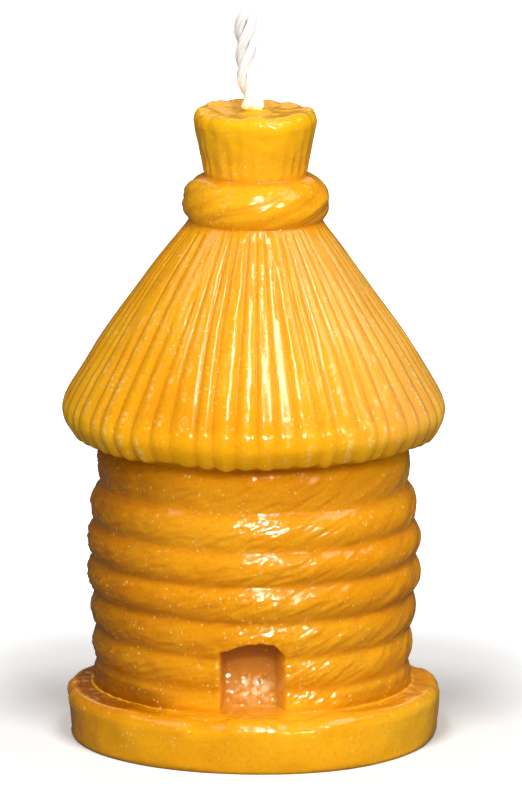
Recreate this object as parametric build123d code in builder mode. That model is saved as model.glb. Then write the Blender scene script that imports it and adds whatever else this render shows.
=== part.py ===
from build123d import *

import os

# Cast beeswax candle in the shape of a straw skep beehive, with its cotton wick.
# Frame: millimetres, +Z up, origin at the centre of the flat underside, doorway facing -Y.
# The wax is one casting. The wick is three strands laid up into one cord, running from the
# underside up a channel on the axis and out of the top.
# Points in pairs are (radius, height).

WAX_HEIGHT = 95.25  # underside to the top of the topknot

# ---- plinth ----
PLINTH_R_BOTTOM, PLINTH_R_TOP = 27.45, 28.25
PLINTH_H = 7.75
PLINTH_BOTTOM_EASE, PLINTH_TOP_EASE = 0.5, 0.6  # edge bevels

# ---- straw coils, bottom to top: each crown lies between two grooves ----
COIL_GROOVES = [
    (23.75, PLINTH_H), (23.25, 11.4), (23.4, 16.6), (23.75, 22.1),
    (24.0, 27.6), (23.85, 32.9), (22.9, 38.6), (22.7, 45.9),
]
COIL_CROWNS = [
    (24.0, 9.4), (24.2, 14.1), (24.5, 19.4), (25.15, 24.9),
    (25.15, 30.2), (24.6, 35.5), (23.55, 41.9),
]

# ---- thatch roof: rolled eave, then the slope up to the collar ----
EAVE_UNDER, EAVE_NOSE, EAVE_TOP = (27.0, 45.4), (28.63, 49.4), (27.6, 53.4)
ROOF_SLOPE = [
    (25.35, 57.0), (22.2, 61.9), (18.35, 67.4), (14.35, 72.9), (11.6, 76.5), (9.86, 78.9),
]

# V-grooves between the thatch ribs, top to bottom:
# point on the roof, depth, width at the surface, rise clear of the surface
RIBS = 54
GROOVE_STATIONS = [
    ((10.7, 77.75), 0.22, 0.50, 0.10),
    (ROOF_SLOPE[3], 0.33, 0.70, 0.12),
    (ROOF_SLOPE[2], 0.42, 0.95, 0.15),
    (ROOF_SLOPE[1], 0.52, 1.2, 0.2),
    (EAVE_TOP, 0.70, 1.6, 0.3),
    ((28.45, 51.2), 0.75, 1.7, 0.3),
    (EAVE_NOSE, 0.75, 1.7, 0.3),
    ((28.2, 47.2), 0.75, 1.7, 0.3),
    ((26.7, 44.9), 0.75, 1.7, 0.3),
]
ROOF_OUTWARD = Vector(1, 0, 0.6)  # roughly out of the roof over +X, to tell out from in

# ---- rope collar round the neck of the roof, and the flared topknot above it ----
COLLAR_CROWN, COLLAR_TOP = (10.97, 81.7), (7.68, 85.5)
KNOT_RIM = (9.15, 93.6)
KNOT_LIP_MID = (KNOT_RIM[0] - 0.35, WAX_HEIGHT - 0.4)  # on the rounding of the lip
KNOT_TOP = (KNOT_RIM[0] - 1.3, WAX_HEIGHT)

# ---- wick ----
WICK_BORE_R = 1.52
WICK_TIP_Z = WAX_HEIGHT + 14.45
WICK_FOOT_Z = 0.45  # height of the strand ends at their centres
STRANDS = 3
STRAND_LAY = 12.0  # length of one turn
STRAND_R = 0.62
STRAND_CENTRE_R = 0.82
STRAND_END_DROP = 0.3  # first strand's end centre below the tip
STRAND_STAGGER = 0.4  # each further strand ends this much lower

# ---- shallow dish in the top, with the wax drawn up round the wick ----
DISH_Z = WAX_HEIGHT - 0.4
MENISCUS_FOOT = (2.9, DISH_Z)
MENISCUS_MID = (2.1, DISH_Z + 0.2)
MENISCUS_TOP = (WICK_BORE_R, WAX_HEIGHT + 0.25)
DISH_EDGE = (MENISCUS_FOOT[0] + 1.6, DISH_Z)  # outer edge of the dish's flat floor

# ---- doorway recess in the front ----
DOOR_W = 10.0
DOOR_FLOOR_Z = PLINTH_H + 0.2
DOOR_SPRING_Z, DOOR_TOP_Z = 17.4, 18.7  # ends and crown of the arch
DOOR_MOUTH_Y, DOOR_BACK_Y = -26.4, -17.9
DOOR_DRAFT = 1.15  # each side closes in by this much from mouth to back wall
DOOR_HEAD_DRAFT = 0.5  # the arch comes down by this fraction of the side draft


def make_groove():
    """Cutter for one groove between two ribs, standing over +X."""
    path = [station[0] for station in GROOVE_STATIONS]
    with BuildPart() as groove:
        for i, ((r, z), depth, width, rise) in enumerate(GROOVE_STATIONS):
            before, after = path[max(i - 1, 0)], path[min(i + 1, len(path) - 1)]
            run = Vector(after[0] - before[0], 0, after[1] - before[1]).normalized()
            with BuildSketch(Plane(origin=(r, 0, z), x_dir=(0, 1, 0), z_dir=run)):
                # local +Y points out of the roof or into it, whichever way the frame turns
                out = 1 if ROOF_OUTWARD.dot(run.cross(Vector(0, 1, 0))) > 0 else -1
                # the V's sides carry on straight above the surface
                half = width / 2 * (depth + rise) / depth
                with BuildLine():
                    Polyline((-half, out * rise), (half, out * rise), (0, -out * depth), close=True)
                make_face()
        loft(ruled=True)
    return groove.part


def make_wax_body():
    groove = make_groove()
    with BuildPart() as wax:
        # everything turned about the axis, round the wick channel
        with BuildSketch(Plane.XZ):
            with BuildLine():
                Polyline(
                    (WICK_BORE_R, 0),
                    (PLINTH_R_BOTTOM - PLINTH_BOTTOM_EASE, 0),
                    (PLINTH_R_BOTTOM, PLINTH_BOTTOM_EASE),
                    (PLINTH_R_TOP, PLINTH_H - PLINTH_TOP_EASE),
                    (PLINTH_R_TOP - PLINTH_TOP_EASE, PLINTH_H),
                    COIL_GROOVES[0],
                )
                for low, crown, high in zip(COIL_GROOVES, COIL_CROWNS, COIL_GROOVES[1:]):
                    ThreePointArc(low, crown, high)
                Line(COIL_GROOVES[-1], EAVE_UNDER)
                ThreePointArc(EAVE_UNDER, EAVE_NOSE, EAVE_TOP)
                Polyline(EAVE_TOP, *ROOF_SLOPE)
                ThreePointArc(ROOF_SLOPE[-1], COLLAR_CROWN, COLLAR_TOP)
                Line(COLLAR_TOP, KNOT_RIM)
                ThreePointArc(KNOT_RIM, KNOT_LIP_MID, KNOT_TOP)
                Polyline(KNOT_TOP, DISH_EDGE, MENISCUS_FOOT)
                ThreePointArc(MENISCUS_FOOT, MENISCUS_MID, MENISCUS_TOP)
                Line(MENISCUS_TOP, (WICK_BORE_R, 0))
            make_face()
        revolve(axis=Axis.Z)

        # doorway recess, drafted so that it leaves the mould
        for y, inset in ((DOOR_MOUTH_Y, 0.0), (DOOR_BACK_Y, DOOR_DRAFT)):
            half = DOOR_W / 2 - inset
            top = DOOR_TOP_Z - inset * DOOR_HEAD_DRAFT
            spring = DOOR_SPRING_Z - inset * DOOR_HEAD_DRAFT
            with BuildSketch(Plane(origin=(0, y, 0), x_dir=(1, 0, 0), z_dir=(0, -1, 0))):
                with BuildLine():
                    Polyline(
                        (-half, spring), (-half, DOOR_FLOOR_Z),
                        (half, DOOR_FLOOR_Z), (half, spring),
                    )
                    ThreePointArc((half, spring), (0, top), (-half, spring))
                make_face()
        loft(mode=Mode.SUBTRACT)

        # half a pitch off the +Y axis, so a rib is centred there
        with PolarLocations(0, RIBS, start_angle=90 + 180 / RIBS):
            add(groove, mode=Mode.SUBTRACT)
    return wax.part


def make_strand(index):
    """One strand, laid right-handed round the axis."""
    end_z = WICK_TIP_Z - STRAND_END_DROP - STRAND_STAGGER * index
    with BuildPart() as lay:
        with BuildLine() as centre_line:
            Helix(STRAND_LAY, end_z - WICK_FOOT_Z, STRAND_CENTRE_R, center=(0, 0, WICK_FOOT_Z))
        with BuildSketch(Plane(origin=centre_line.line @ 0, z_dir=centre_line.line % 0)):
            Circle(STRAND_R)
        sweep(is_frenet=True)
    with BuildPart() as strand:
        with PolarLocations(0, 1, start_angle=90 + 360 / STRANDS * index):
            add(lay.part)
    return strand.part


def export(part, name):
    part.label = name
    export_step(part, f"parts/{name}.step")


os.makedirs("parts", exist_ok=True)
export(make_wax_body(), "wax_body")
for index in range(STRANDS):
    export(make_strand(index), f"wick_strand_{index + 1}")
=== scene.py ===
# A beeswax candle cast as a round straw hut: a plinth, a wall of straw coils with a doorway,
# a thatched roof, a rope collar and a topknot, with a plied cotton wick down the middle.
# It stands on z = 0 round the Z axis, with the doorway facing -Y and +X on the viewer's right.
# Shapes are worked out in millimetres and built in metres.
import math

import bpy
import numpy as np
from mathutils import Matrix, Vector


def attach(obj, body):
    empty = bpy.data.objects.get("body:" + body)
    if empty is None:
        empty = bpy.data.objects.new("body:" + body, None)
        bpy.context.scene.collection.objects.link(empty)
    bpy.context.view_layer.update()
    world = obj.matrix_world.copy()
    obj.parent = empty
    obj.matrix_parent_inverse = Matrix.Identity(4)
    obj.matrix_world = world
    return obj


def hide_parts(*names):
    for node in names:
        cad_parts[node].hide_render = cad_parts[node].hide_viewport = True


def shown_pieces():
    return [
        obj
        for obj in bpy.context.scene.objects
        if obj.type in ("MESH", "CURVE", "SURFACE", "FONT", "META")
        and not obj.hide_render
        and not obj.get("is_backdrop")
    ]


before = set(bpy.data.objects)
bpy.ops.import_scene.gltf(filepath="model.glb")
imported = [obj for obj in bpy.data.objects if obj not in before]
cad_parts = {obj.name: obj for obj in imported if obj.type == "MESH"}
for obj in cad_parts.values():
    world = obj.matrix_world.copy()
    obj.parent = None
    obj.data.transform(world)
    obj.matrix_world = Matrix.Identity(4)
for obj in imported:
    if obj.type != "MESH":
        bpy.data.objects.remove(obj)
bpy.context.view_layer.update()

MM = 0.001
TAU = 2 * math.pi

CHANNEL_RADIUS = 1.52  # the wick's channel through the wax
PLINTH_TOP = 8.1
WALL_FOOT, WALL_TOP = 8.2, 45.0
WALL_LIMIT = 26  # every point of the wall lies within this radius
ROOF_FOOT, COLLAR_FOOT, COLLAR_TOP = 46.0, 78.6, 85.5
COLLAR_MIDDLE, COLLAR_HALF = 81.9, 3.4
DOOR_HALF, DOOR_TOP, DOOR_FOOT = 4.95, 18.55, 8.12
COLUMNS = 640
SEAM = 0.4  # radians blended on each side of the back seam
RIBS = 54
BROAD_MIDDLE = 0.095  # the angle the broad ribs over the doorway turn towards


# ---------------------------------------------------------------- noise and easing
def lattice(ix, iy, iz, seed):
    """A repeatable value from -1 to 1 at each whole-number point."""
    h = (
        (ix.astype(np.int64) * 73856093)
        ^ (iy.astype(np.int64) * 19349663)
        ^ (iz.astype(np.int64) * 83492791)
        ^ (seed * 2654435761 & 0x7FFFFFFF)
    )
    h = (h ^ (h >> 13)) * 1274126177 & 0x7FFFFFFF
    h = (h ^ (h >> 16)) * 1103515245 & 0x7FFFFFFF
    return ((h >> 7) & 0xFFFF) / 32767.5 - 1.0


def noise(x, y, z, seed):
    """Smooth value noise, -1 to 1, one feature per unit."""
    x, y, z = np.broadcast_arrays(x, y, z)
    fx, fy, fz = np.floor(x), np.floor(y), np.floor(z)
    u, v, w = (t * t * t * (t * (t * 6 - 15) + 10) for t in (x - fx, y - fy, z - fz))
    total = 0.0
    for i in (0, 1):
        for j in (0, 1):
            for k in (0, 1):
                weight = (u if i else 1 - u) * (v if j else 1 - v) * (w if k else 1 - w)
                total = total + weight * lattice(fx + i, fy + j, fz + k, seed)
    return total


def smooth(low, high, value):
    """0 below low, 1 above high."""
    t = np.clip((value - low) / (high - low), 0, 1)
    return t * t * (3 - 2 * t)


def fade(low, high, value):
    """1 below low, 0 above high."""
    return 1 - smooth(low, high, value)


def bell(value, centre, width, power=2):
    return np.exp(-(((value - centre) / width) ** power))


# ---------------------------------------------------------------- wax: profile
# (radius, height) of the notches between the straw coils, and of each coil's crown
GROOVES = [
    (23.75, 7.75), (23.25, 11.4), (23.4, 16.6), (23.75, 22.1),
    (24.0, 27.6), (23.85, 32.9), (22.9, 38.6), (22.7, 45.4),
]
CROWNS = [
    (24.0, 9.4), (24.2, 14.1), (24.5, 19.4), (25.15, 24.9),
    (25.15, 30.2), (24.6, 35.5), (23.55, 41.9),
]
# (radius, height) of the eave, the roof slope and the topknot, walked upwards
EAVE = [
    (22.9, 45.3), (24.6, 45.3), (26.0, 45.35), (26.95, 45.65), (27.65, 46.5), (28.3, 47.8),
    (28.72, 49.1), (28.78, 50.2), (28.58, 51.25), (28.08, 52.4), (27.5, 53.5),
]
SLOPE = [
    (27.5, 53.5), (25.35, 57.0), (22.2, 61.9), (18.35, 67.4),
    (14.35, 72.9), (11.6, 76.5), (10.0, 78.6),
]
TOPKNOT = [
    (7.7, 85.6), (7.98, 87.4), (8.45, 89.9), (8.85, 92.0), (9.07, 93.2), (9.05, 93.9),
    (8.75, 94.6), (8.2, 95.05), (7.4, 95.22), (6.5, 95.15), (5.6, 94.95),
]


def arc3(first, middle, last, count):
    """Points on the circle through three points."""
    (ax, ay), (bx, by), (cx, cy) = first, middle, last
    a, b, c = ax * ax + ay * ay, bx * bx + by * by, cx * cx + cy * cy
    d = 2 * (ax * (by - cy) + bx * (cy - ay) + cx * (ay - by))
    ux = (a * (by - cy) + b * (cy - ay) + c * (ay - by)) / d
    uy = (a * (cx - bx) + b * (ax - cx) + c * (bx - ax)) / d
    size = math.hypot(ax - ux, ay - uy)
    t0, t1, t2 = (math.atan2(y - uy, x - ux) for x, y in (first, middle, last))
    sweep = (t2 - t0) % TAU
    if (t1 - t0) % TAU > sweep:
        sweep -= TAU
    turns = [t0 + sweep * i / count for i in range(count + 1)]
    return [(ux + size * math.cos(t), uy + size * math.sin(t)) for t in turns]


def spline(points, count=6):
    """Catmull-Rom through points."""
    p = np.array([points[0]] + list(points) + [points[-1]], float)
    found = []
    for a, b, c, d in zip(p, p[1:], p[2:], p[3:]):
        for k in range(count):
            t = k / count
            square = (2 * a - 5 * b + 4 * c - d) * t * t
            found.append(tuple(0.5 * (2 * b + (c - a) * t + square + (3 * b - a - 3 * c + d) * t**3)))
    found.append(tuple(p[-2]))
    return found


def path_length(points):
    return np.concatenate([[0], np.cumsum(np.hypot(*np.diff(points, axis=0).T))])


def make_profile():
    """From the foot of the wick's channel out, up the outside and back down the channel."""
    coils = []
    for low, crown, high in zip(GROOVES, CROWNS, GROOVES[1:]):
        coils += arc3(low, crown, high, 24)[:-1]
    coils = [p for p in coils if p[1] > PLINTH_TOP]
    lower = [p for p in coils if p[1] < 20.0]
    upper = [p for p in coils if p[1] >= 20.0]
    plinth_side = arc3((26.6, 0.0), (27.25, 0.2), (27.5, 0.8), 6) + [(28.2, 6.1)]
    plinth_rim = arc3((28.2, 6.1), (27.7, 7.3), (26.5, 7.8), 8) + [(25.0, 7.95), (24.1, 8.2)]
    legs = [  # points, row spacing
        ([(CHANNEL_RADIUS, 0.0), (26.6, 0.0)], 2.0),
        (plinth_side, 0.25),
        (plinth_rim, 0.2),
        (lower, 0.17),
        (upper + EAVE[:1], 0.23),
        (spline(EAVE), 0.19),
        (spline(SLOPE), 0.27),
        (arc3((10.0, 78.7), (10.97, 81.6), (7.75, 85.4), 30), 0.19),
        (spline(TOPKNOT), 0.2),
        ([(5.6, 94.95), (4.4, 94.75), (3.2, 94.8)], 0.35),
        (arc3((3.2, 94.8), (2.2, 95.0), (1.56, 95.5), 8), 0.2),
        ([(CHANNEL_RADIUS, 95.3), (CHANNEL_RADIUS, 0.6)], 5.0),
    ]
    found = []
    for points, step in legs:
        p = np.array(points, float)
        length = path_length(p)
        count = max(1, round(length[-1] / step))
        t = np.linspace(0, length[-1], count + 1)
        rows = np.stack([np.interp(t, length, p[:, 0]), np.interp(t, length, p[:, 1])], 1)
        if found and np.hypot(*(found[-1] - rows[0])) < 0.06:
            rows = rows[1:]
        found += list(rows)
    return np.array(found)


profile = make_profile()
ROWS = len(profile)
# wax fills the notches between the coils a little
walked = path_length(profile)
on_coils = (
    (profile[:, 1] > PLINTH_TOP) & (profile[:, 1] < 45.4)
    & (profile[:, 0] > 20) & (profile[:, 0] < WALL_LIMIT)
)
kernel = bell(walked[:, None], walked[None, :], 0.75) * on_coils[None, :]
blurred = (kernel @ profile[:, 0]) / np.maximum(kernel.sum(1), 1e-9)
ease = smooth(PLINTH_TOP, 9.0, profile[:, 1]) * fade(44.4, 45.3, profile[:, 1]) * on_coils
profile[:, 0] += ease * (blurred - profile[:, 0])
# the profile's outward normal
around = np.roll(profile, -1, 0) - np.roll(profile, 1, 0)
around /= np.hypot(around[:, 0], around[:, 1])[:, None]
normal_r, normal_z = around[:, 1][:, None], -around[:, 0][:, None]

# columns: closer together across the doorway; angle 0 is the front (-Y), positive towards +X
fine = np.linspace(-math.pi, math.pi, 4001)
density = 1.0 + 1.5 * bell(fine, 0, math.radians(15), power=6) + 0.25 * (np.cos(fine) > 0)
share = np.concatenate([[0], np.cumsum((density[1:] + density[:-1]) / 2)])
theta = np.interp(np.arange(COLUMNS) / COLUMNS * share[-1], share, fine)

# regions of the profile, one value per row
radius, height = profile[:, :1], profile[:, 1:]
outer = radius >= 1.6
rise = np.clip((height - ROOF_FOOT) / (79.0 - ROOF_FOOT), 0, 1)
on_roof = smooth(45.3, 46.4, height) * fade(77.2, COLLAR_FOOT, height) * outer * (radius > 9)
eave_under = smooth(23.6, 26.6, radius) * (height < 46.6) * (radius > 23.5) * (height > 44)
roof = np.maximum(on_roof, eave_under)
wall = (height > WALL_FOOT) & (height < WALL_TOP) & (radius < WALL_LIMIT) & outer
plinth = (height < PLINTH_TOP) & outer & (radius > 20)


# ---------------------------------------------------------------- wax: relief
class Relief:
    """What stands off the turned profile, for columns at the given angles."""

    def __init__(self, angle):
        self.angle = angle
        self.side, self.facing = np.sin(angle), np.cos(angle)  # towards +X, towards -Y
        self.x, self.y = radius * self.side, -radius * self.facing
        self.out = np.zeros((ROWS, angle.shape[1]))  # mm along the normal
        self.lift = np.zeros_like(self.out)  # mm along Z
        self.painted_shade = np.zeros_like(self.out)  # 0 to 1, painted shade in hollows

    # painted shade: darkens the colour where shade falls
    def hollow(self, amount):
        self.painted_shade = np.maximum(self.painted_shade, amount)


def shape_thatch(relief):
    rng = np.random.default_rng(41)
    angle = relief.angle
    pitch = TAU / RIBS
    edges = (np.arange(RIBS + 1) / RIBS - 0.5) * TAU
    jitter = rng.uniform(-0.13, 0.13, RIBS + 1) * TAU / RIBS
    jitter[-1] = jitter[0]
    edges = edges + jitter
    wander = 0.20 * noise(angle * 3.0, rise * 1.2, 0.3, seed=5)
    wander = wander + 0.07 * noise(angle * 9.0, rise * 3.0, 7.3, seed=6)
    warped = (angle + wander * TAU / RIBS - edges[0]) % TAU + edges[0]
    place = np.interp(warped, edges, np.arange(RIBS + 1))  # whole numbers at the grooves
    nearest = np.round(place).astype(int) % RIBS
    rib = np.floor(place).astype(int) % RIBS
    v = 1 - 2 * np.abs(place - np.round(place))  # 1 in a groove, 0 on a crest
    # some grooves die out part of the way up
    ends = np.where(rng.random(RIBS) < 0.24, rng.uniform(0.4, 0.9, RIBS), 2.0)[nearest]
    strength = rng.uniform(0.8, 1.1, RIBS)
    # crests are a little flat, most of all on the few broad ribs over the doorway
    broad = bell(angle, 0.10, 0.15, power=4) * smooth(0.05, 0.22, rise)
    flat = 0.16 + 0.36 * broad
    cut = np.clip(v - flat, 0, 1) / (1 - flat)
    sharp = 0.35 * (0.3 + 0.7 * smooth(46.5, 53.0, height))
    groove = (0.65 * cut**1.35 + sharp * cut**4) * strength[nearest]
    relief.groove = groove = groove * fade(ends - 0.1, ends + 0.1, rise)
    crest = rng.uniform(-0.09, 0.09, RIBS)[rib] * (1 - v**2)
    eave_soft = 1 - 0.58 * fade(46.5, 53.0, height)
    depth = (0.25 + 0.33 * (1 - rise) ** 0.8) * eave_soft
    depth = depth * (1 - 0.22 * smooth(0.5, 1.2, np.abs(angle)))
    # the broad ribs are turned a little towards one another
    middle = (edges[:-1] + edges[1:]) / 2
    turn = np.clip(BROAD_MIDDLE - middle, -0.14, 0.14) * (np.abs(middle - BROAD_MIDDLE) < 0.17)
    turn = turn[rib] * broad
    relief.out += roof * -np.tan(turn) * (place - np.floor(place) - 0.5) * pitch * radius
    relief.out += -roof * depth * groove + roof * crest * (0.5 + 0.5 * (1 - rise))
    # painted shade in the grooves between the ribs, less at the eave
    relief.hollow(roof * groove * 0.30 * eave_soft**2)
    # pale bloom along the crests, with a painted sheen heavier on the flanks and most on the right
    dusty = smooth(-0.1, 0.5, noise(angle * 21.0, height * 0.55, 2.0, seed=24))
    sideways = 0.45 + 0.55 * np.abs(relief.side) + 0.5 * smooth(0.2, 0.8, relief.side)
    relief.bloom = roof * np.clip(1 - v * 2.2, 0, 1) * dusty * sideways
    relief.bloom = relief.bloom * (1 - smooth(62, 78, height) * 0.75)
    # straws along the slope: long thin ripples
    relief.out += roof * 0.018 * noise(angle * RIBS / TAU * 4.3, rise * 7.0, 2.2, seed=9)
    relief.out += roof * 0.045 * noise(angle * RIBS / TAU * 1.3, rise * 9.0, 5.2, seed=19)
    # rib ends hang unevenly at the eave
    hang = rng.uniform(-0.14, 0.18, RIBS)[rib] * (1 - v**2)
    relief.lift += -roof * fade(46.0, 49.5, height) * (hang + 0.22 * (1 - v**1.6) - 0.75)
    relief.lift += 0.25 * noise(angle * 1.4, 0.0, 3.3, seed=23) * roof


def shape_coils(relief):
    angle = relief.angle
    inside = (radius < WALL_LIMIT) * outer
    hatch = 1 - 0.6 * smooth(0.35, 0.85, angle)
    patch = 0.3 + 0.7 * smooth(-0.35, 0.35, noise(angle * 3.3, height * 0.13, 5.5, seed=38))
    patch = patch * (1 - 0.6 * bell(angle, -0.8, 0.6) - 0.6 * bell(angle, 0.95, 0.5))
    lobe_counts = (21, 22, 20, 22, 21, 20, 21)
    for k, (low, crown, high) in enumerate(zip(GROOVES, CROWNS, GROOVES[1:])):
        above = height - crown[1]
        t = above / ((high[1] - low[1]) / 2)
        window = np.clip(1 - np.abs(t) ** 4, 0, 1) * inside * (height < 45.5)
        wobble = 0.42 * noise(angle * 2.3, k * 3.7, 1.1, seed=31)
        wobble = wobble + 0.22 * noise(angle * 6.1, k * 5.1 + height * 0.2, 4.1, seed=32)
        phase = angle / TAU * lobe_counts[k] + k * 0.37 - above * 0.27 + wobble
        cell = np.floor(phase).astype(int)
        lobe = np.abs(2 * (phase - np.floor(phase)) - 1) ** 2.0
        depth = 0.12 + 0.16 * noise(cell * 0.77 + 13.0 * k, 0.5, 0.5, seed=33)
        # slanting straws, in four sizes
        along = angle * 24.5 / 2.6 - above * 0.35
        across = above - (angle * 0.16 + 0.24 * np.clip(angle - 0.25, 0, 9)) * 24.5
        large = 0.12 * noise(along, across * 0.62, k * 2.0, seed=34)
        medium = 0.10 * noise(along * 1.7, across * 1.5, k * 2.0 + 9, seed=35)
        small = 0.065 * noise(along * 2.6, across * 3.2, k * 2.0 + 5, seed=37)
        tiny = 0.032 * noise(along * 5.0, across * 6.0, k * 2.0 + 3, seed=39)
        relief.out += window * (-depth * 0.8 * patch * lobe)
        relief.out += window * (large + hatch * (medium + small) + tiny)
        # painted shade in the dips between lobes and in the notches between coils
        relief.hollow(window * lobe * patch * 0.10)
        relief.hollow(bell(np.abs(t), 1.0, 0.20) * 0.34 * inside * (height < 45.8))
    # the coils aren't quite level
    tilt = 0.32 * noise(angle * 1.1 + 4.0, height * 0.11, 6.6, seed=36)
    relief.lift += wall * smooth(WALL_FOOT, 12, height) * fade(41, WALL_TOP, height) * tilt


def shape_collar(relief):
    angle = relief.angle
    above = height - COLLAR_MIDDLE
    t = above / COLLAR_HALF
    collar = np.clip(1 - np.abs(t) ** 5, 0, 1) * (radius > 7.4) * outer * (height > 78.4)
    phase = angle / TAU * 8 - above * 0.30 + 0.22 * noise(angle * 2.0, 1.0, 2.0, seed=41)
    v = np.abs(2 * (phase - np.floor(phase)) - 1)  # 1 between two strands of the rope
    fibres = 0.10 * noise(phase * 2.6, t * 1.1, 3.0, seed=42)
    fibres = fibres + 0.07 * noise(phase * 6.0, t * 2.2, 5.0, seed=43)
    fibres = fibres + 0.03 * noise(phase * 13.0, t * 4.0, 5.0, seed=44)
    relief.out += collar * (0.08 - 0.24 * v**2.2)
    relief.out += collar * fibres
    # painted shade between the rope's strands, at the collar's foot and where it meets the topknot
    relief.hollow(collar * v**4 * 0.3)
    relief.hollow(bell(height, COLLAR_FOOT, 0.7) * outer * 0.45)
    relief.hollow(bell(height, COLLAR_TOP, 0.6) * outer * (radius < 9) * 0.6)


def shape_topknot(relief):
    angle, x, y = relief.angle, relief.x, relief.y
    knot = smooth(85.4, 86.4, height) * outer
    stem = knot * fade(92.2, 94.4, height) * (radius > 7)
    phase = angle / TAU * 26 + 0.35 * noise(angle * 3.1, height * 0.08, 1.0, seed=51)
    flute = 0.5 - 0.5 * np.cos(phase * TAU)
    relief.out += -stem * (0.05 + 0.13 * fade(86, 92, height)) * flute
    lumps = 0.16 * noise(x * 0.22, y * 0.22, height * 0.2, seed=52)
    relief.out += knot * (lumps + 0.07 * noise(x * 0.7, y * 0.7, height * 0.6, seed=53))
    # the lip is higher at the back
    lip = bell(radius, 8.1, 1.3) * (height > 93.0)
    uneven = 0.22 * smooth(0.2, 1.0, -relief.facing)
    uneven = uneven + 0.20 * noise(angle * 1.8, 1.0, 9.0, seed=54)
    relief.lift += lip * (uneven + 0.10 * noise(angle * 5.0, 2.0, 9.0, seed=55))
    relief.lift += lip * 0.28 * bell(angle, -2.4, 0.55)
    ragged = 0.10 * noise(angle * 7.5, 3.0, 9.0, seed=57)
    relief.out += lip * (ragged + 0.06 * noise(angle * 15.0, height * 0.8, 9.0, seed=58))
    # the dished top, with one deeper hollow
    dish = (height > 94) * (radius < 8.0) * outer * smooth(1.6, 3.2, radius)
    pit = 0.30 * np.exp(-(((x + 3.2) ** 2 + (y + 1.0) ** 2) / 5.0))
    relief.lift += dish * (0.16 * noise(x * 0.35, y * 0.35, 3.0, seed=56) - pit)


def shape_plinth(relief):
    angle = relief.angle
    uneven = 0.22 * noise(angle * 2.2, height * 0.12, 8.0, seed=61)
    uneven = uneven + 0.10 * noise(angle * 8.0, height * 0.4, 8.0, seed=62)
    relief.out += plinth * smooth(0.2, 1.0, height) * uneven
    rim = bell(height, 7.3, 1.3) * (radius > 26.0)
    relief.out += -rim * np.clip(noise(angle * 4.0, 3.0, 2.0, seed=63) - 0.15, 0, 1) * 0.9
    outward = smooth(24.0, 26.5, radius) * (height < WALL_FOOT)
    relief.lift += outward * smooth(5.8, 7.0, height) * 0.25 * bell(angle, -1.6, 0.4)
    relief.lift += outward * (height > 7.0) * 0.22 * noise(angle * 2.7, 1.5, 3.0, seed=64)
    # the foot spreads at the front, most on the right
    spread = bell(angle, 0.5, 0.62) * 1.15 + 0.3 * bell(angle, -0.5, 0.7)
    spread = plinth * spread * (0.30 + 0.70 * fade(0.0, 7.0, height))
    relief.out += spread * (height < 7.9) * smooth(20, 27, radius)
    # a nick in the rim on the left, over a shallow flat
    left = -math.radians(88)
    nick = bell(angle, left, 0.07) * bell(height, 5.4, 0.55) * (radius > 25)
    relief.out += -nick * 1.0
    # painted shade in the nick
    relief.hollow(nick * 0.7)
    flat = plinth * bell(angle, left, 0.30) * 0.35
    relief.out += -flat * fade(4.2, 5.4, height) * smooth(0.2, 1.0, height)
    # painted shade where the wall meets the plinth, along the bottom edge, low on the plinth wall and
    # on the plinth top at the sides
    relief.hollow(bell(radius, 23.9, 0.8) * (height > 7.5) * (height < 8.9) * 0.3)
    relief.hollow(bell(height, 0, 0.7) * 0.4)
    relief.hollow(plinth * fade(0.5, 5.5, height) * 0.18)
    top = plinth * (height > 7.2) * fade(26.2, 27.8, radius)
    relief.hollow(top * smooth(0.25, 0.8, np.abs(relief.side)) * 0.30)


def shape_skin(relief):
    """The soft unevenness of a hand-poured casting, everywhere."""
    skin = smooth(0.3, 1.2, height) * outer * smooth(1.7, 3.5, radius)
    calm = 1 - 0.7 * on_roof
    total = 0
    for amount, scale, seed in ((0.11, 0.13, 71), (0.055 * calm, 0.45, 72), (0.024 * calm, 1.25, 73)):
        total = total + amount * noise(relief.x * scale, relief.y * scale, height * scale, seed)
    relief.out += skin * total


def shade_tone(relief):
    """How much darker the wax is drawn: darker on the coil wall, with painted shade under the eave,
    on the low coils and plinth top at the sides, on the plinth top, on the roof (most at its front)
    and on the left.
    """
    side, facing = relief.side, relief.facing
    sides = smooth(0.12, 0.75, np.abs(side))
    tone_and_shade = wall * smooth(8.5, 11.0, height) * (0.8 + 0.2 * smooth(38, 44, height))
    for layer in (
        wall * fade(9.5, 12.5, height) * sides * 1.5,
        plinth * (height > 6.8) * fade(26.2, 27.8, radius) * sides * 1.1,
        0.55 * plinth * smooth(6.0, 7.2, height),
        (0.10 + 0.20 * smooth(0.55, 0.95, facing)) * roof * smooth(50.0, 54.0, height),
    ):
        tone_and_shade = np.maximum(tone_and_shade, layer)
    # painted shade, heavier on the left of the front half
    return 0.5 * tone_and_shade * (1 + 0.85 * smooth(0.22, 0.95, -side) * smooth(-0.9, 0.0, facing))


def shade_bright(relief):
    """Painted glow of light through the wax: the upper topknot and its rim, the eave and the front of
    the plinth.
    """
    painted_glow = smooth(87.0, 92.5, height) * outer * (0.35 + 0.65 * (radius > 8.3))
    eave = 0.6 * roof * fade(47.0, 53.0, height) * (1 - 0.6 * relief.groove)
    foot = 0.12 * plinth * (height < 7.3) * smooth(-0.2, 0.6, relief.facing)
    return np.maximum(np.maximum(painted_glow, eave), foot)


def relief_layers(angle):
    relief = Relief(angle)
    for shape in (
        shape_thatch, shape_coils, shape_collar, shape_topknot, shape_plinth, shape_skin,
    ):
        shape(relief)
    tone_and_shade, painted_glow = shade_tone(relief), shade_bright(relief)
    return [relief.out, relief.lift, relief.painted_shade, tone_and_shade, painted_glow, relief.bloom]


angle = theta[None, :]
layers = relief_layers(angle)
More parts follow.
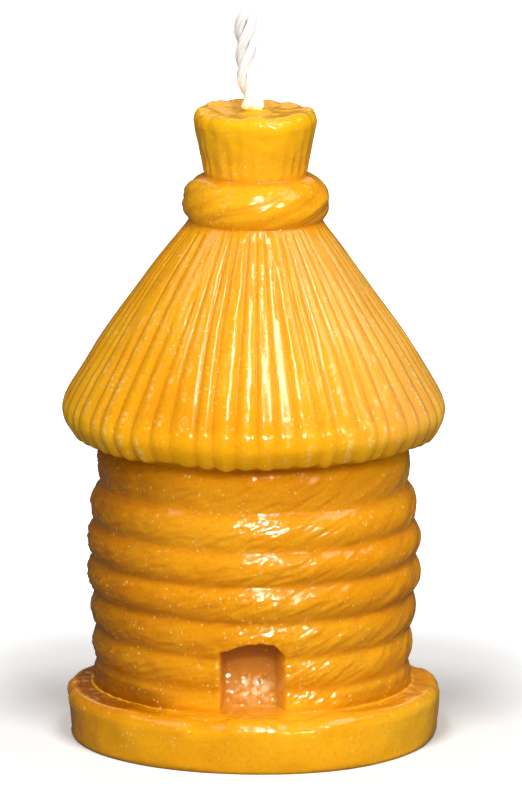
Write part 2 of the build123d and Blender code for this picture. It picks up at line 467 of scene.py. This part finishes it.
# the two sides of the seam at the back are blended into one another
for side in (1, -1):
    cols = np.where(side * theta > math.pi - SEAM)[0]
    blend = 0.5 * smooth(math.pi - SEAM, math.pi, side * angle[:, cols])
    for layer, other in zip(layers, relief_layers(angle[:, cols] - side * TAU)):
        layer[:, cols] = layer[:, cols] * (1 - blend) + other * blend
out, lift, painted_shade, tone_and_shade, painted_glow, bloom = layers

stand = radius + normal_r * out
lean = outer * (0.22 * smooth(8, 30, height) + 0.2 * smooth(60, 84, height))  # towards +X
side, facing = np.sin(angle), np.cos(angle)
x, y, z = stand * side + lean, -stand * facing, height + normal_z * out + lift

# ---------------------------------------------------------------- wax: doorway
front = (facing > 0.6) & on_coils[:, None] & (height > DOOR_FOOT)
lintel = DOOR_TOP + 0.5 - 0.012 * x**2 + 0.12 * noise(x * 0.8, 1.0, 1.0, seed=81)
lintel = lintel - 1.5 * smooth(2.9, 5.0, x) - 1.15 * smooth(0.2, 5.0, -x)
left = smooth(0, 1, x + DOOR_HALF + 0.10 * noise(z * 0.7, 2.0, 1.0, seed=82))
right = smooth(0, 1.75, DOOR_HALF + 0.1 - x + 0.10 * noise(z * 0.7, 5.0, 1.0, seed=83))
above, under = smooth(0, 0.75, lintel - z), smooth(0, 0.4, height - DOOR_FOOT)
opening = np.where(front, left * right * above * under, 0)
# the lumpy back wall, in slanted coordinates
along, across = 0.83 * x + 0.56 * z, 0.83 * z - 0.56 * x
lump = 0.27 * noise(along * 0.75, across * 0.95, 3.0, seed=85)
lump = lump + 0.13 * noise(across * 1.6, along * 1.3, 3.0, seed=86)
lump = lump + 0.035 * noise(along * 3.1, across * 3.3, 3.0, seed=88)
lump = 0.32 * noise(x * 0.5, z * 0.5, 3.0, seed=84) + lump * fade(12.0, 14.5, z)
lump = lump * (0.35 + 0.85 * fade(11.0, 14.5, z))
back = -18.1 - 1.15 * fade(9.0, 13.5, z) - 0.35 * smooth(0, 4, x) - lump
y = y + (back - y) * opening
# painted shade in the doorway, deeper higher up and towards its right wall
edge_shade = opening * (0.05 + 0.15 * smooth(11.0, 16.0, z)) + opening * (1 - right) * 0.3
painted_shade = np.maximum(painted_shade * (1 - opening), edge_shade)
# a raised, softened lip at each side of the opening
jamb = bell(np.abs(x), DOOR_HALF + 0.55, 0.5) * smooth(7.5, 9, z) * fade(17.5, 19, z)
y = y - np.where(front, jamb, 0) * 0.18

# painted shade in the doorway, heavier towards its top
tone_and_shade = tone_and_shade * (1 - opening) + opening * (0.62 + 0.16 * smooth(10.0, 15.0, z))
# painted highlights on the doorway's back wall: streaky glints low down and a brighter patch near the
# middle
streaks = noise(along * 0.9 + 3.0, across * 1.2, 4.0, seed=87)
streaks = streaks + 0.4 * noise(across * 2.3, along * 2.1, 4.0, seed=89)
painted_glints = smooth(0.12, 0.5, streaks) * fade(11.8, 14.0, z)
painted_glints = painted_glints * smooth(1.2, 2.6, DOOR_HALF - np.abs(x + 0.4))
heart = bell(x, 0.9, 2.3) * bell(z, 11.0, 1.9)
foam = noise(along * 1.3 + 1.0, across * 1.9, 4.0, seed=90)
foam = foam + 0.5 * noise(along * 3.1, across * 3.6, 4.0, seed=92) + 0.5 * heart - 0.35
painted_highlight = opening * (0.05 + 0.07 * painted_glints + 0.62 * heart * smooth(-0.05, 0.35, foam))
# painted sheen on the right of the thatch
painted_roof_sheen = 0.10 * smooth(0.35, 0.9, side) * smooth(46.0, 51.0, height)
painted_roof_sheen = painted_roof_sheen * fade(75.0, COLLAR_FOOT, height) * (radius > 9) * outer
painted_highlight = np.maximum(painted_highlight, painted_roof_sheen)
z = np.maximum(z, 0.0)
z[profile[:, 1] < 1e-6, :] = 0.0

# where the gloss is held back: wall top, plinth top, topknot's dish, eave
plinth_top = (height > 7.5) * (height < 9.6) * fade(26.3, 27.3, radius) * (radius > 22)
matt = 0.0
for layer in (
    wall * smooth(41.0, 44.0, height),
    plinth_top * smooth(0.2, 0.7, np.abs(angle)) * 0.9,
    0.65 * (height > 94.2) * (radius < 7.6) * outer,
    0.85 * (height > 45.2) * fade(50.8, 52.6, height) * outer,
):
    matt = np.maximum(matt, layer)


# ---------------------------------------------------------------- meshes
def grid_quads(count, rows, columns):
    """Quads from each of the first `count` rows to the next; columns close into a ring."""
    row = np.arange(count)[:, None] * columns
    following = (np.arange(count) + 1)[:, None] % rows * columns
    col = np.arange(columns)[None, :]
    beside = (col + 1) % columns
    corners = [row + col, row + beside, following + beside, following + col]
    return np.stack(corners, -1).reshape(-1, 4)


def mesh_object(name, verts, quads, attributes):
    """A smooth mesh from points in mm, with one float attribute per entry."""
    mesh = bpy.data.meshes.new(name)
    mesh.vertices.add(len(verts))
    mesh.vertices.foreach_set("co", np.ascontiguousarray(verts * MM, dtype=np.float32).ravel())
    mesh.loops.add(len(quads) * 4)
    mesh.loops.foreach_set("vertex_index", np.ascontiguousarray(quads, dtype=np.int32).ravel())
    mesh.polygons.add(len(quads))
    mesh.polygons.foreach_set("loop_start", np.arange(0, len(quads) * 4, 4, dtype=np.int32))
    mesh.update(calc_edges=True)
    mesh.validate()
    for key, values in attributes.items():
        data = mesh.attributes.new(key, "FLOAT", "POINT").data
        data.foreach_set("value", np.ascontiguousarray(values, dtype=np.float32).ravel())
    mesh.polygons.foreach_set("use_smooth", np.ones(len(mesh.polygons), bool))
    mesh.update()
    ob = bpy.data.objects.new(name, mesh)
    bpy.context.scene.collection.objects.link(ob)
    return ob


wax = mesh_object(
    "wax_casting",
    np.stack([x, y, z], -1).reshape(-1, 3),
    grid_quads(ROWS, ROWS, COLUMNS),
    {
        "painted_shade": np.clip(painted_shade, 0, 1), "tone_and_shade": tone_and_shade, "painted_glow": painted_glow,
        "bloom": bloom, "matt": matt, "painted_highlight": painted_highlight,
    },
)
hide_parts("wax_body")
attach(wax, "root")


# ---------------------------------------------------------------- wick
# three plied strands, each with the twist of its own yarns, leaning to the left above the wax
WICK_FOOT, WICK_TOP = 0.45, 110.4
TRIMS = (0.55, 0.0, 0.85)  # how far each strand stops short of the top
STRAND_LAY, YARN_LAY = 12.0, 3.6  # height of one turn
YARNS = 5
STRAND_RADIUS = 0.63
STRAND_SIDES = 42  # even, so that the ends close with quads


def strand_centre(z, index, top):
    bend = 0.25 * smooth(94.0, 96.0, z) * fade(97.0, 101.0, z)
    axis_x = -0.95 * smooth(94.5, 101.5, z) - 0.02 * smooth(101, 109, z) + bend
    axis_y = 0.12 * np.sin((z - 95) * 0.35) * smooth(95, 98, z)
    # the cord opens a little where it leaves the wax, and closes at the trimmed tip
    spread = 0.82 + 0.04 * smooth(95.0, 96.0, z) + 0.14 * smooth(103.0, 107.0, z)
    spread = spread + 0.12 * bell(z, 95.9, 0.5) - 0.22 * smooth(top - 1.4, top, z)
    turn = math.radians(90 + 120 * index) + TAU * (z - WICK_FOOT) / STRAND_LAY
    return np.stack([axis_x + spread * np.cos(turn), axis_y + spread * np.sin(turn), z], 1)


def rounded(t):
    """A dome's width as t goes from 0 to its end at 1."""
    return np.sqrt(np.clip(1 - np.clip(t, 0, 1) ** 2, 0.04, 1))


def make_strand(index, trim):
    top = WICK_TOP - trim
    z = np.concatenate([np.linspace(WICK_FOOT, 93.0, 150), np.linspace(93.0, top, 150)[1:]])
    centre = strand_centre(z, index, top)
    tangent = np.gradient(centre, axis=0)
    tangent /= np.linalg.norm(tangent, axis=1)[:, None]
    across = np.cross(tangent, [1.0, 0.0, 0.0])
    across /= np.linalg.norm(across, axis=1)[:, None]
    other = np.cross(tangent, across)
    phi = np.arange(STRAND_SIDES) / STRAND_SIDES * TAU
    twist = -TAU * z / YARN_LAY + index
    lobe = np.abs(np.cos((phi[None, :] * YARNS + twist[:, None]) / 2))
    size = STRAND_RADIUS * (0.86 + 0.20 * lobe)
    size = size + 0.03 * noise(phi[None, :] * 2.0, z[:, None] * 2.2, index * 4.0, seed=91)
    girth = 1 - 0.06 * (z < 95.0) + 0.16 * smooth(95.0, 96.0, z)
    girth = girth + 0.05 * smooth(103.0, 107.0, z) + 0.22 * bell(z, 95.9, 0.45)
    domes = rounded((z - (top - 0.5)) / 0.5) * rounded(((WICK_FOOT + 0.3) - z) / 0.3)
    size = size * (domes * girth)[:, None]
    cos, sin = np.cos(phi)[None, :, None], np.sin(phi)[None, :, None]
    section = cos * across[:, None, :] + sin * other[:, None, :]
    verts = (centre[:, None, :] + size[..., None] * section).reshape(-1, 3)
    # both ends close with a fan of quads to the centre
    low_end, high_end = len(verts), len(verts) + 1
    last = (len(z) - 1) * STRAND_SIDES
    fans = []
    for s in range(0, STRAND_SIDES, 2):
        beyond = (s + 2) % STRAND_SIDES
        fans.append([low_end, s, s + 1, beyond])
        fans.append([high_end, last + beyond, last + s + 1, last + s])
    quads = grid_quads(len(z) - 1, len(z), STRAND_SIDES)[:, [0, 3, 2, 1]]
    ob = mesh_object(
        f"wick_strand_cotton_{index + 1}",
        np.concatenate([verts, centre[[0, -1]]]),
        np.concatenate([quads, np.array(fans)]),
        {"painted_shade": np.concatenate([(1 - lobe).ravel(), [0, 0]])},
    )
    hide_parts(f"wick_strand_{index + 1}")
    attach(ob, "root")
    return ob


strands = [make_strand(index, trim) for index, trim in enumerate(TRIMS)]


# ---------------------------------------------------------------- materials
class Nodes:
    """Adds shader nodes to a tree."""

    def __init__(self, tree):
        self.tree = tree

    def put(self, socket, value):
        if isinstance(value, bpy.types.NodeSocket):
            self.tree.links.new(value, socket)
        else:
            socket.default_value = value

    def add(self, kind, *values, **settings):
        """Values fill the inputs in order; capitalised settings are inputs, others properties."""
        node = self.tree.nodes.new("ShaderNode" + kind)
        inputs = dict(enumerate(values))
        for key, value in settings.items():
            if key[0].isupper():
                inputs[key.replace("_", " ")] = value
            else:
                setattr(node, key, value)
        for key, value in inputs.items():
            self.put(node.inputs[key], value)
        return node

    def place(self):
        return self.add("TexCoord").outputs["Object"]

    def attribute(self, name):
        return self.add("Attribute", attribute_name=name).outputs["Fac"]

    def noise(self, place, scale, detail=2.0, roughness=0.5, output="Fac"):
        node = self.add("TexNoise", Vector=place, Scale=scale, Detail=detail, Roughness=roughness)
        return node.outputs[output]

    def ramp(self, factor, *stops):
        """Each stop is a position, then red, green and blue, or one grey."""
        node = self.add("ValToRGB", factor)
        elements = node.color_ramp.elements
        while len(elements) > 1:
            elements.remove(elements[-1])
        for i, (position, *color) in enumerate(stops):
            element = elements.new(position) if i else elements[0]
            element.position = position
            element.color = (*(color if len(color) == 3 else color * 3), 1)
        return node.outputs[0]

    def mix(self, factor, a, b, blend="MIX"):
        node = self.add("Mix", factor, data_type="RGBA", blend_type=blend)
        self.put(node.inputs[6], a)
        self.put(node.inputs[7], b)
        return node.outputs[2]

    def math(self, operation, a, b, clamp=False):
        return self.add("Math", a, b, operation=operation, use_clamp=clamp).outputs[0]

    def bump(self, height, strength, distance):
        return self.add("Bump", Height=height, Strength=strength, Distance=distance).outputs[0]


def new_material(name):
    material = bpy.data.materials.new(name)
    material.use_nodes = True
    material.node_tree.nodes.clear()
    return material, Nodes(material.node_tree)


def wax_colour(nodes, place, cloud):
    """The wax's colour, and the mask of its specks, partly bloom and partly painted glints."""
    base = nodes.ramp(
        cloud, (0.30, 0.86, 0.355, 0.006), (0.5, 0.93, 0.425, 0.009), (0.72, 0.97, 0.500, 0.018)
    )
    grain = nodes.noise(place, scale=2100.0, detail=3.0, roughness=0.7)
    grain = nodes.ramp(grain, (0.32, 0.78, 0.70, 0.55), (0.52, 1), (0.70, 1))
    colour = nodes.mix(0.5, base, grain, "MULTIPLY")
    # painted shade in the hollows, grooves and recesses
    painted_shade_colour = nodes.ramp(
        nodes.attribute("painted_shade"), (0.0, 1), (0.35, 0.93, 0.82, 0.66), (1.0, 0.66, 0.36, 0.14)
    )
    colour = nodes.mix(0.9, colour, painted_shade_colour, "MULTIPLY")
    # darker on the coil wall, with painted shade under the eave, at the sides, on the left, on the
    # plinth top, the roof and in the doorway
    dark = nodes.ramp(
        nodes.attribute("tone_and_shade"), (0.0, 1), (0.5, 0.85, 0.73, 0.60), (1.0, 0.42, 0.30, 0.20)
    )
    colour = nodes.mix(1.0, colour, dark, "MULTIPLY")
    # painted glow, clear yellow, on the topknot, the eave and the front of the plinth
    clear = nodes.math("MULTIPLY", nodes.attribute("painted_glow"), 0.6)
    colour = nodes.mix(clear, colour, (1.0, 0.53, 0.005, 1))
    # painted highlights low on the doorway's back wall, and painted sheen on the right of the thatch
    colour = nodes.mix(nodes.attribute("painted_highlight"), colour, (0.95, 0.80, 0.48, 1))
    # pale specks, partly wax bloom and partly painted glints
    bend = nodes.noise(place, scale=1500.0, detail=1.0, output="Color")
    shift = nodes.add("VectorMath", bend, (0.0006, 0.0006, 0.0006), place, operation="MULTIPLY_ADD")
    speck = nodes.add("TexVoronoi", Vector=shift.outputs[0], Scale=1050.0).outputs["Distance"]
    speck = nodes.ramp(speck, (0.14, 1), (0.24, 0))
    where = nodes.ramp(nodes.noise(place, scale=260.0), (0.44, 0), (0.62, 1))
    speck = nodes.math("MULTIPLY", nodes.math("MULTIPLY", speck, where), 0.5)
    colour = nodes.mix(speck, colour, (1.0, 0.74, 0.26, 1))
    # pale bloom along the crests of the thatch, and painted sheen on its flanks, most on the right
    crests = nodes.attribute("bloom")
    bloom_and_sheen_specks = nodes.noise(place, scale=1700.0, detail=3.0, roughness=0.7)
    bloom_and_sheen_specks = nodes.ramp(bloom_and_sheen_specks, (0.44, 0), (0.62, 1))
    bloom_and_sheen_specks = nodes.math("MULTIPLY", nodes.math("MULTIPLY", crests, bloom_and_sheen_specks), 0.8)
    return nodes.mix(bloom_and_sheen_specks, colour, (1.0, 0.74, 0.28, 1)), speck


def wax_bump(nodes, place, speck):
    """Fine skin relief."""
    fine = nodes.noise(place, scale=900.0, detail=4.0, roughness=0.6)
    middling = nodes.noise(place, scale=330.0, detail=3.0, roughness=0.55)
    fine, middling = nodes.math("MULTIPLY", fine, 0.35), nodes.math("MULTIPLY", middling, 0.45)
    height = nodes.math("ADD", fine, middling)
    height = nodes.math("ADD", height, nodes.math("MULTIPLY", speck, 0.5))
    spark = nodes.noise(place, scale=2900.0, roughness=0.6)
    height = nodes.math("ADD", height, nodes.math("MULTIPLY", spark, 0.24))
    return nodes.bump(height, strength=0.42, distance=0.0002)


def wax_material():
    material, nodes = new_material("beeswax")
    place = nodes.place()
    cloud = nodes.noise(place, scale=55.0, detail=5.0, roughness=0.6)
    colour, speck = wax_colour(nodes, place, cloud)
    held_back = nodes.math("MULTIPLY", nodes.attribute("matt"), 0.55)
    shader = nodes.add(
        "BsdfPrincipled",
        Base_Color=colour,
        Subsurface_Weight=0.4,
        Subsurface_Radius=(1.0, 0.38, 0.08),
        Subsurface_Scale=0.0022,
        IOR=1.45,
        Specular_IOR_Level=nodes.math("SUBTRACT", 0.62, held_back),
        Roughness=nodes.ramp(cloud, (0.3, 0.06), (0.7, 0.13)),
        Normal=wax_bump(nodes, place, speck),
    )
    nodes.add("OutputMaterial", shader.outputs[0])
    return material


def cotton_material():
    material, nodes = new_material("cotton")
    place = nodes.place()
    fibres = nodes.noise(place, scale=2600.0, detail=3.0)
    base = nodes.ramp(fibres, (0.3, 0.95, 0.94, 0.91), (0.7, 1.0, 0.995, 0.985))
    # painted shade in the valleys between the yarns
    painted_shade_colour = nodes.ramp(nodes.attribute("painted_shade"), (0.0, 1), (1.0, 0.91, 0.90, 0.87))
    colour = nodes.mix(1.0, base, painted_shade_colour, "MULTIPLY")
    # wax has soaked into the foot
    height = nodes.math("MULTIPLY", nodes.add("SeparateXYZ", place).outputs[2], 1000.0)
    soaked = nodes.math("DIVIDE", nodes.math("SUBTRACT", 96.6, height), 1.1, clamp=True)
    shader = nodes.add(
        "BsdfPrincipled",
        Base_Color=nodes.mix(soaked, colour, (0.98, 0.80, 0.42, 1)),
        Roughness=0.85,
        Subsurface_Weight=0.2,
        Subsurface_Radius=(1, 0.9, 0.8),
        Subsurface_Scale=0.0005,
        Normal=nodes.bump(fibres, strength=0.5, distance=0.00008),
    )
    nodes.add("OutputMaterial", shader.outputs[0])
    return material


def floor_material():
    """Near white to the camera and glowing brighter away from the candle, which paints shade close
    round it; dim to every other ray.
    """
    material, nodes = new_material("pale_floor")
    mottle = nodes.add("TexNoise", Scale=3.0).outputs[0]
    mottle = nodes.ramp(mottle, (0.3, 0.93), (0.7, 0.95))
    matt = nodes.add("BsdfPrincipled", Base_Color=mottle, Roughness=0.9, Specular_IOR_Level=0.1)
    distance = nodes.add("VectorMath", nodes.place(), operation="LENGTH").outputs["Value"]
    distance = nodes.math("MULTIPLY", distance, 1.0)
    brightness = nodes.ramp(
        distance, (0.028, 0.0), (0.040, 0.03), (0.055, 0.31), (0.10, 0.6), (0.30, 0.98)
    )
    glow = nodes.add("Emission", Color=brightness, Strength=1.0)
    dim = nodes.add("BsdfDiffuse", Color=(0.09, 0.08, 0.07, 1))
    both = nodes.add("AddShader", matt.outputs[0], glow.outputs[0])
    to_camera = nodes.add("LightPath").outputs["Is Camera Ray"]
    seen = nodes.add("MixShader", to_camera, dim.outputs[0], both.outputs[0])
    nodes.add("OutputMaterial", seen.outputs[0])
    return material


WAX, COTTON = wax_material(), cotton_material()
wax.data.materials.append(WAX)
for ob in strands:
    ob.data.materials.append(COTTON)
# the CAD nodes under the pieces take the same finishes
for name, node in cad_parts.items():
    node.data.materials.clear()
    node.data.materials.append(WAX if name == "wax_body" else COTTON)

bpy.ops.mesh.primitive_plane_add(size=30, location=(0, 0, 0))
floor = bpy.context.object
floor.name = "floor"
floor.data.materials.append(floor_material())
floor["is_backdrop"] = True

# ---------------------------------------------------------------- light
# name, azimuth (0 in front of the doorway, 90 at +X) and elevation in degrees,
# distance and size in metres, power in watts, colour where it isn't white
AMBER = (1.0, 0.92, 0.66)
BOXES = [
    ("key", 9, 55, 1.1, (0.08, 0.34), 2.7, (1.0, 0.97, 0.86)),
    ("right_box", 80, 52, 1.0, (0.5, 0.5), 2.2),
    ("left_box", -82, 54, 1.1, (0.35, 0.35), 0.8),
    ("back_fill", 180, 42, 1.6, (1.2, 1.2), 5.0, (1.0, 0.90, 0.66)),
]
WINDOWS = [  # for the gloss alone
    ("front_window", 7, 27, 1.5, (0.20, 0.17), 24, AMBER),
    ("side_window", 38, 26, 1.5, (0.10, 0.12), 6.5, AMBER),
]
FILLS = [  # out of the gloss
    ("front_small", 7, 27, 1.5, (0.12, 0.08), 5.0),
    ("overhead", 180, 80, 1.3, (1.2, 1.2), 0.9),
    ("front_right", 26, 26, 1.5, (0.6, 0.6), 8.9),
    ("front_left", -22, 28, 1.5, (0.6, 0.6), 5.8),
    ("front_low", 5, 3, 1.6, (1.1, 0.3), 4.0),
    ("right_low", 76, 16, 1.5, (0.4, 0.4), 1.9),
    ("left_low", -62, 8, 1.5, (0.4, 0.4), 3.0),
    ("back_low", 180, 13, 1.5, (0.6, 0.6), 9.0),
]
FLOOR_LIGHTS = [
    ("floor_left", -24, 50, 1.5, (0.55, 0.4), 14.6),
    ("floor_right", 24, 50, 1.5, (0.55, 0.4), 14.6),
]


def area(name, azimuth, elevation, distance, size, power, color=(1, 1, 1), aim_height=0.05):
    a, e = math.radians(azimuth), math.radians(elevation)
    away = Vector((math.sin(a) * math.cos(e), -math.cos(a) * math.cos(e), math.sin(e)))
    light = bpy.data.lights.new(name, "AREA")
    light.shape = "RECTANGLE"
    light.size, light.size_y = size
    light.energy = power
    light.color = color
    ob = bpy.data.objects.new(name, light)
    ob.location = Vector((0, 0, aim_height)) + away * distance
    ob.rotation_euler = away.to_track_quat("Z", "Y").to_euler()
    ob.visible_camera = False
    bpy.context.scene.collection.objects.link(ob)
    return ob


candle_only = bpy.data.collections.new("lit_candle")
floor_only = bpy.data.collections.new("lit_floor")
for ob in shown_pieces():
    candle_only.objects.link(ob)
floor_only.objects.link(floor)
for rows, diffuse, glossy in ((BOXES, True, True), (WINDOWS, False, True), (FILLS, True, False)):
    for row in rows:
        light = area(*row)
        light.light_linking.receiver_collection = candle_only
        light.visible_diffuse = diffuse
        light.visible_glossy = glossy
for row in FLOOR_LIGHTS:
    area(*row, aim_height=0).light_linking.receiver_collection = floor_only

# the world is white to the camera and lights the scene only faintly
world = bpy.data.worlds.new("studio")
bpy.context.scene.world = world
world.use_nodes = True
nodes = Nodes(world.node_tree)
faint = world.node_tree.nodes["Background"]
nodes.put(faint.inputs["Color"], (1, 1, 1, 1))
nodes.put(faint.inputs["Strength"], 0.05)
white = nodes.add("Background", Color=(1, 1, 1, 1), Strength=1.0)
to_camera = nodes.add("LightPath").outputs["Is Camera Ray"]
seen = nodes.add("MixShader", to_camera, faint.outputs[0], white.outputs[0])
nodes.put(world.node_tree.nodes["World Output"].inputs[0], seen.outputs[0])
view = bpy.context.scene.view_settings
view.view_transform = "Standard"
view.look = "None"
view.exposure = 0.0

# ---------------------------------------------------------------- camera
lens = bpy.data.cameras.new("camera")
lens.sensor_width = 36
lens.sensor_fit = "AUTO"
lens.lens = 459.3
lens.shift_x = 0.010625
lens.clip_start, lens.clip_end = 0.1, 50
camera = bpy.data.objects.new("camera", lens)
camera.location = (0, -1.5, 0.360)
camera.rotation_euler = (math.radians(90 - 11.64), 0, 0)  # looking 11.64 degrees down
bpy.context.scene.collection.objects.link(camera)
bpy.context.scene.camera = camera
